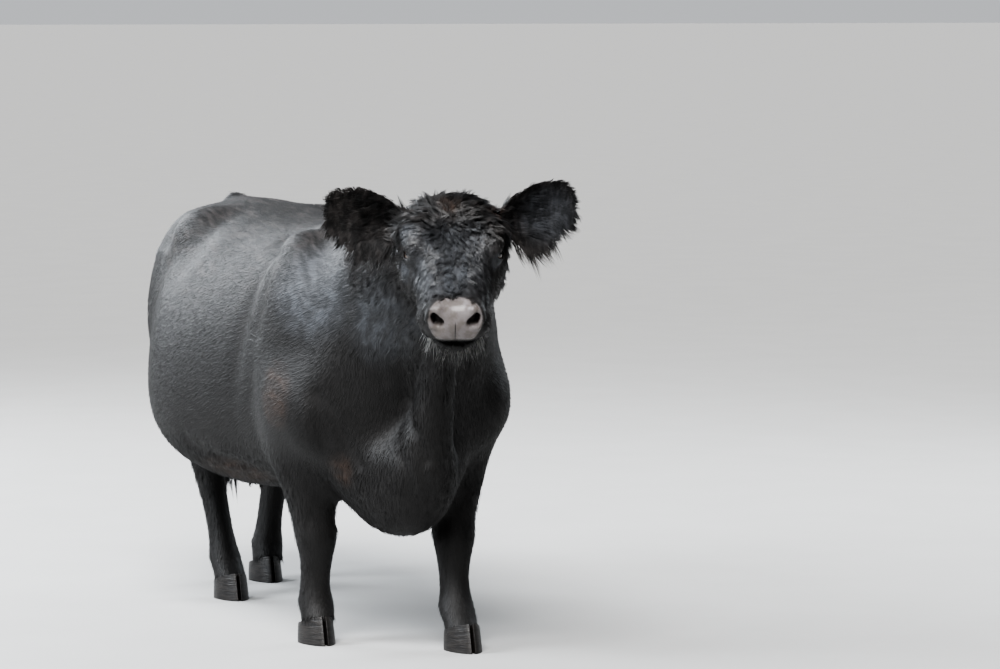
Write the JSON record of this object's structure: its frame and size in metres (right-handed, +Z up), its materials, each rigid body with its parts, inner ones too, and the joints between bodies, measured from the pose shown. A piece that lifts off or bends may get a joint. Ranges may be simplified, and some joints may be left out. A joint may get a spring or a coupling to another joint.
{
  "type": "standing black galloway cow",
  "caption": "Still, life-size, museum-like model of a polled black cow standing with its head turned, with a curly poll, hairy ears, udder, tail and cloven hooves.",
  "frame": {"origin": "centre of the bounding box at floor level, under the soles", "axes": "-Y is the way the body faces, +X is its left side, +Z is up; the body runs along Y"},
  "size_m": [0.8548, 2.35, 1.2924],
  "materials": {
    "coat": "short dense black coat with a soft sheen",
    "udder": "short brown hair",
    "horn": "dark hoof horn",
    "eye": "wet, dark brown"
  },
  "bodies": {
    "root": {"head": "coat", "left_ear": "coat", "left_eye": "eye", "left_fore_inner_claw": "horn", "left_fore_inner_dewclaw": "horn", "left_fore_outer_claw": "horn", "left_fore_outer_dewclaw": "horn", "left_foreleg": "coat", "left_hind_inner_claw": "horn", "left_hind_inner_dewclaw": "horn", "left_hind_outer_claw": "horn", "left_hind_outer_dewclaw": "horn", "left_hindleg": "coat", "neck": "coat", "right_ear": "coat", "right_eye": "eye", "right_fore_inner_claw": "horn", "right_fore_inner_dewclaw": "horn", "right_fore_outer_claw": "horn", "right_fore_outer_dewclaw": "horn", "right_foreleg": "coat", "right_hind_inner_claw": "horn", "right_hind_inner_dewclaw": "horn", "right_hind_outer_claw": "horn", "right_hind_outer_dewclaw": "horn", "right_hindleg": "coat", "tail": "coat", "torso": "coat", "udder": "udder"}
  },
  "joints": []
}
